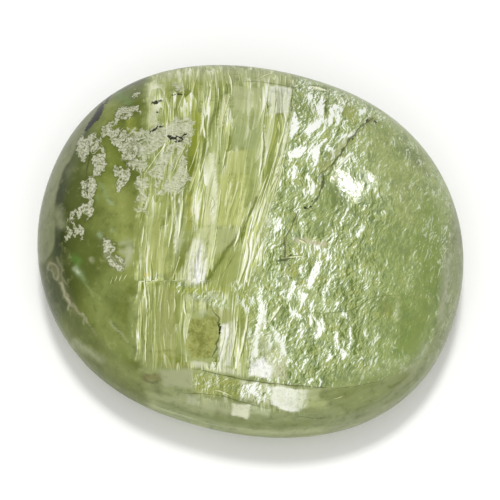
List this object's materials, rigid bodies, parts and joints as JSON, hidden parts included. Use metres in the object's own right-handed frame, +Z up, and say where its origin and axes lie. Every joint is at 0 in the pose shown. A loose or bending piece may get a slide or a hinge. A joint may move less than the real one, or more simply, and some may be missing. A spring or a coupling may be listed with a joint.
{
  "type": "oval cut opal",
  "caption": "Oval cabochon of yellow-green opal with a polished low crown, a rolled girdle and a flat base, to set in jewellery or lay on a surface.",
  "frame": {"origin": "middle of the flat base, on the surface the stone rests on", "axes": "+Z up through the crown, X along the oval's long axis, Y along its short axis"},
  "size_m": [0.018, 0.016, 0.0066],
  "materials": {
    "opal": "polished, glassy, translucent yellow-green with pale silky veins"
  },
  "bodies": {
    "root": {"opal_cabochon": "opal"}
  },
  "joints": []
}
